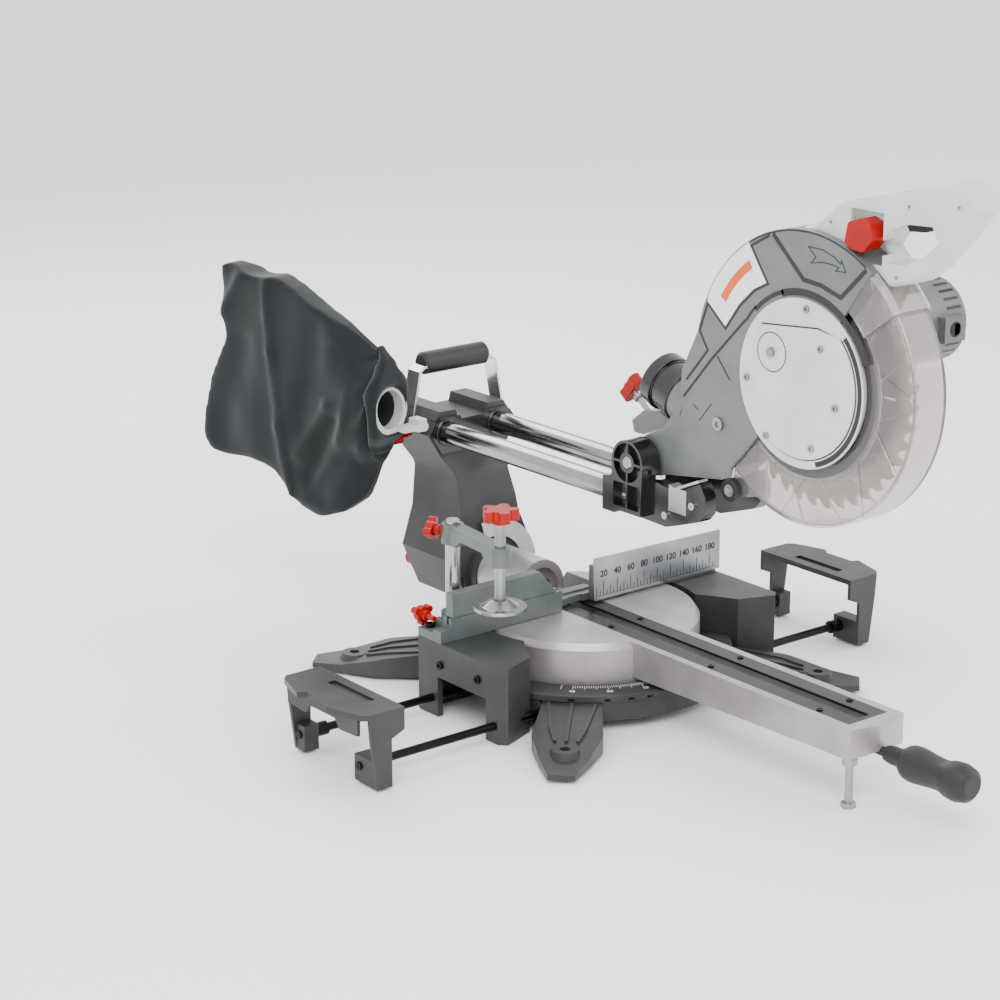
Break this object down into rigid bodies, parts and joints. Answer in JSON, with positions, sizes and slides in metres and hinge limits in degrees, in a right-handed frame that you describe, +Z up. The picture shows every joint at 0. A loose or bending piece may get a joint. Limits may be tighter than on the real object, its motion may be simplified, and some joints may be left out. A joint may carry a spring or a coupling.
{
  "type": "sliding compound miter saw",
  "caption": "Bench miter saw: blade head on twin slide rails over a turntable with fence, vise, side supports and dust bag.",
  "frame": {"origin": "centre of the four bench bolt holes, on the floor plane under the feet, where the turntable axis meets it; the fence front face lies on Y = 0", "axes": "+Z up, the user stands at -Y and looks along +Y, +X to the right; head raised and pulled fully forward"},
  "size_m": [0.757, 1.1049, 0.63],
  "materials": {
    "base_paint": "dark grey powder coat, fine texture",
    "ring_cast": "matt cast, engraved marks",
    "rubber": "matt",
    "zinc": "zinc plated",
    "black_oxide": "black oxide",
    "silver_paint": "silver enamel on cast aluminium, light texture",
    "black_plastic": "moulded, fine texture",
    "red_plastic": "moulded, satin gloss",
    "fence_metal": "machined face, painted back",
    "ruler_steel": "satin stainless with black marks",
    "chrome": "hard chrome, ground",
    "bright_steel": "bright",
    "bracket_paint": "near-black enamel",
    "head_paint": "grey satin enamel",
    "white_steel": "white-silver enamel sheet",
    "motor_plastic": "moulded grey nylon",
    "milky_plastic": "translucent moulded",
    "clear_plastic": "clear polycarbonate",
    "blade_steel": "ground tool steel",
    "copper_windings": "varnished windings",
    "bag_fabric": "woven polyester",
    "pointer_red": "red enamel",
    "bearing_steel": "ground",
    "grip_rubber": "soft-touch moulding"
  },
  "bodies": {
    "base": {"base_casting": "base_paint", "miter_scale_ring": "ring_cast", "foot_pads": "rubber", "turntable_pivot_bolt": "zinc", "fixed_fence": "fence_metal", "fence_ruler_plate": "ruler_steel", "base_screws": "black_oxide"},
    "fence_knob": {"fence_lock_knob": "red_plastic"},
    "left_slider": {"left_support": "base_paint", "left_support_rods": "black_oxide"},
    "right_slider": {"right_support": "base_paint", "right_support_rods": "black_oxide"},
    "upper_fence": {"sliding_fence": "fence_metal"},
    "vise_mast": {"vise_post": "chrome"},
    "vise_bracket": {"vise_arm": "fence_metal"},
    "vise_spindle": {"vise_screw": "red_plastic"},
    "vise_foot": {"vise_pad": "bright_steel"},
    "vise_knob": {"vise_lock_knob": "red_plastic"},
    "table": {"turntable": "silver_paint", "kerf_inserts": "black_plastic", "insert_screws": "black_oxide", "miter_pointer": "pointer_red", "stabiliser_bolt": "zinc", "bevel_pivot_bolt": "bright_steel"},
    "miter_lock": {"miter_lock_handle": "grip_rubber"},
    "column": {"bevel_column": "base_paint", "linear_bearings": "bearing_steel", "carry_handle_strap": "white_steel", "carry_handle_grip": "grip_rubber", "bevel_scale": "white_steel", "bag_spigot": "milky_plastic", "dust_bag": "bag_fabric"},
    "bevel_lock": {"bevel_lock_knob": "red_plastic"},
    "slide_lock": {"slide_lock_knob": "red_plastic"},
    "carriage": {"slide_rails": "chrome", "pivot_bracket": "bracket_paint", "pivot_shaft": "bright_steel", "return_spring": "bearing_steel", "depth_stop_plate": "bright_steel"},
    "head": {"upper_guard_arm": "head_paint", "guard_hub_plate": "white_steel", "guard_side_plate": "white_steel", "side_plate_screws": "zinc", "dust_port": "black_plastic", "motor_housing": "motor_plastic", "motor_stator": "copper_windings", "brush_caps": "black_plastic", "handle_left_shell": "milky_plastic", "handle_right_shell": "milky_plastic", "shaft_bearings": "bearing_steel"},
    "trigger_lever": {"trigger": "black_plastic"},
    "lock_lever": {"lock_off_lever": "red_plastic"},
    "spindle_button": {"spindle_lock_button": "black_plastic"},
    "depth_stop": {"depth_stop_screw": "red_plastic"},
    "blade": {"saw_blade": "blade_steel", "arbor_shaft": "bearing_steel"},
    "rotor": {"motor_rotor": "bearing_steel"},
    "moving_guard": {"lower_guard": "clear_plastic", "guard_hub_ring": "black_plastic"},
    "roller": {"guard_roller": "rubber"}
  },
  "joints": [
    {"name": "miter", "type": "hinge", "parent": "base", "child": "table", "pos_m": [0, 0, 0.085], "axis": [0, 0, 1], "range_deg": [-45, 45]},
    {"name": "miter_lock_turn", "type": "hinge", "parent": "table", "child": "miter_lock", "pos_m": [0, -0.46, 0.057], "axis": [0, -1, 0], "range_deg": [-180, 180]},
    {"name": "bevel", "type": "hinge", "parent": "table", "child": "column", "pos_m": [0, 0.15, 0.085], "axis": [0, -1, 0], "range_deg": [0, 45]},
    {"name": "bevel_lock_turn", "type": "hinge", "parent": "column", "child": "bevel_lock", "pos_m": [0, 0.27, 0.085], "axis": [0, 1, 0], "range_deg": [-180, 180]},
    {"name": "slide_lock_turn", "type": "hinge", "parent": "column", "child": "slide_lock", "pos_m": [-0.078, 0.24, 0.244], "axis": [-1, 0, 0], "range_deg": [-180, 180]},
    {"name": "rail_slide", "type": "slide", "parent": "column", "child": "carriage", "axis": [0, -1, 0], "range_m": [-0.29, 0]},
    {"name": "head_tilt", "type": "hinge", "parent": "carriage", "child": "head", "pos_m": [0, -0.131, 0.289], "axis": [1, 0, 0], "range_deg": [0, 50]},
    {"name": "blade_spin", "type": "hinge", "parent": "head", "child": "blade", "pos_m": [0, -0.35, 0.412], "axis": [1, 0, 0], "continuous": true},
    {"name": "motor_spin", "type": "hinge", "parent": "head", "child": "rotor", "pos_m": [0.1, -0.33567, 0.44746], "axis": [1, 0, 0], "continuous": true},
    {"name": "guard_turn", "type": "hinge", "parent": "head", "child": "moving_guard", "pos_m": [0, -0.35, 0.412], "axis": [1, 0, 0], "range_deg": [-150, 0]},
    {"name": "roller_spin", "type": "hinge", "parent": "moving_guard", "child": "roller", "pos_m": [-0.026, -0.25654, 0.28337], "axis": [1, 0, 0], "continuous": true},
    {"name": "trigger_pull", "type": "hinge", "parent": "head", "child": "trigger_lever", "pos_m": [0, -0.458, 0.6], "axis": [1, 0, 0], "range_deg": [0, 8], "stiffness_Nm_per_rad": 0.5, "springref_deg": -17.19},
    {"name": "lock_off_push", "type": "hinge", "parent": "head", "child": "lock_lever", "pos_m": [-0.01, -0.404, 0.566], "axis": [1, 0, 0], "range_deg": [0, 5], "stiffness_Nm_per_rad": 0.5, "springref_deg": -17.19},
    {"name": "spindle_lock_push", "type": "slide", "parent": "head", "child": "spindle_button", "axis": [0, 1, 0], "range_m": [0, 0.003], "stiffness_N_per_m": 400, "springref_m": -0.003},
    {"name": "depth_stop_turn", "type": "hinge", "parent": "head", "child": "depth_stop", "pos_m": [0, -0.079, 0.346], "axis": [0, -0.7901, -0.613], "range_deg": [-180, 180]},
    {"name": "left_support_pull", "type": "slide", "parent": "base", "child": "left_slider", "axis": [-1, 0, 0], "range_m": [-0.136, 0.012]},
    {"name": "right_support_pull", "type": "slide", "parent": "base", "child": "right_slider", "axis": [1, 0, 0], "range_m": [-0.093, 0.055]},
    {"name": "fence_slide", "type": "slide", "parent": "base", "child": "upper_fence", "axis": [-1, 0, 0], "range_m": [0, 0.06]},
    {"name": "fence_lock_turn", "type": "hinge", "parent": "base", "child": "fence_knob", "pos_m": [-0.187, 0.046, 0.103], "axis": [0, -1, 0], "range_deg": [-180, 180]},
    {"name": "vise_swing", "type": "hinge", "parent": "base", "child": "vise_mast", "pos_m": [-0.165, 0.024, 0.1], "axis": [0, 0, -1], "range_deg": [0, 40]},
    {"name": "vise_arm_drop", "type": "slide", "parent": "vise_mast", "child": "vise_bracket", "axis": [0, 0, -1], "range_m": [0, 0.047]},
    {"name": "vise_screw_feed", "type": "slide", "parent": "vise_bracket", "child": "vise_spindle", "axis": [0, 0, 1], "range_m": [-0.018, 0.02]},
    {"name": "vise_pad_spin", "type": "hinge", "parent": "vise_spindle", "child": "vise_foot", "pos_m": [-0.176, -0.071, 0.14], "axis": [0, 0, 1], "continuous": true},
    {"name": "vise_lock_turn", "type": "hinge", "parent": "vise_bracket", "child": "vise_knob", "pos_m": [-0.175, 0.0413, 0.198], "axis": [-0.5, 0.866, 0], "range_deg": [-180, 180]}
  ],
  "couplings": [
    {"joint": "motor_spin", "follows": "blade_spin", "ratio": -3.25},
    {"joint": "guard_turn", "follows": "head_tilt", "ratio": -3}
  ]
}
